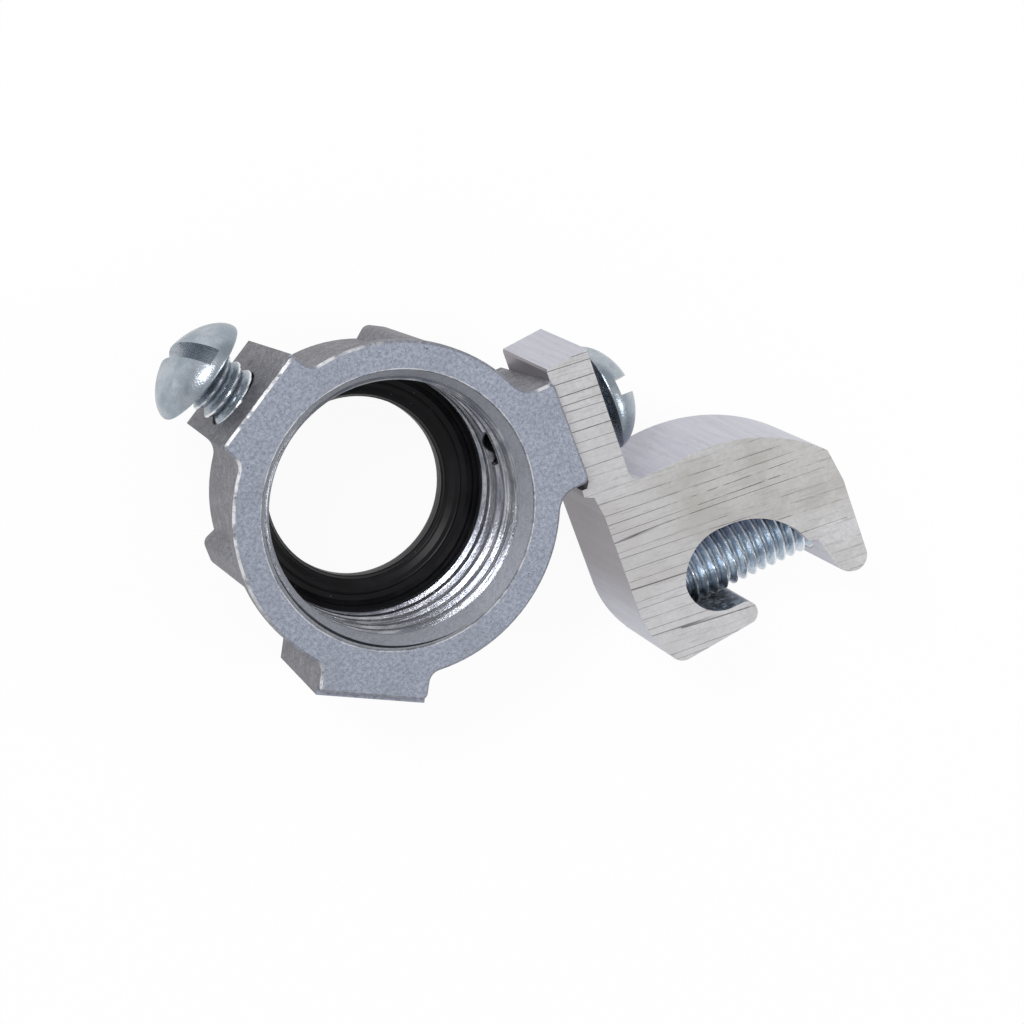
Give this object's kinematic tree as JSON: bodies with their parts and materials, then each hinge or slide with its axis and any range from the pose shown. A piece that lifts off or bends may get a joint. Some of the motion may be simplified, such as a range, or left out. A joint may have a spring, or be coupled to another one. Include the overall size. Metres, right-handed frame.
{
  "type": "grounding bushing",
  "caption": "Insulated grounding bushing for half-inch conduit: zinc ring with a black throat, two slotted screws and an aluminium lay-in lug with a clamp screw",
  "frame": {"origin": "on the bore's axis at the shoulder where the conduit's end stops, which is the inner end of the threaded bore", "axes": "+Z along the bore's axis and out of the threaded mouth, +X along the boss that carries the lug, +Y completes the right-handed frame; the part lies on its insulated end, 3.7 mm below the origin"},
  "size_m": [0.0484, 0.0396, 0.0143],
  "materials": {
    "cast_zinc": "grey die-cast zinc, matt and slightly grainy",
    "insulator": "black moulded plastic, semi-gloss",
    "zinc_plated_steel": "bright zinc plate with a blue cast",
    "lug_aluminium": "extruded aluminium with sawn ends"
  },
  "bodies": {
    "bushing": {"bushing_body": "cast_zinc", "insulating_throat": "insulator"},
    "bonding_screw": {"bonding_screw": "zinc_plated_steel"},
    "lug": {"ground_lug": "lug_aluminium"},
    "lug_screw": {"lug_screw": "zinc_plated_steel"},
    "clamp_screw": {"clamp_screw": "zinc_plated_steel"}
  },
  "joints": [
    {"name": "lug_swing", "type": "hinge", "parent": "bushing", "child": "lug", "pos_m": [0.0148, 0, 0.0045], "axis": [1, 0, 0], "range_deg": [-8.4, 0.8]},
    {"name": "lug_screw_travel", "type": "slide", "parent": "bushing", "child": "lug_screw", "axis": [1, 0, 0], "range_m": [-0.00088, 0.0033]},
    {"name": "bonding_screw_travel", "type": "slide", "parent": "bushing", "child": "bonding_screw", "axis": [-0.5, 0.866, 0], "range_m": [-0.00313, 0.0024]},
    {"name": "clamp_screw_travel", "type": "slide", "parent": "lug", "child": "clamp_screw", "axis": [1, 0, 0], "range_m": [0, 0.0112]}
  ]
}
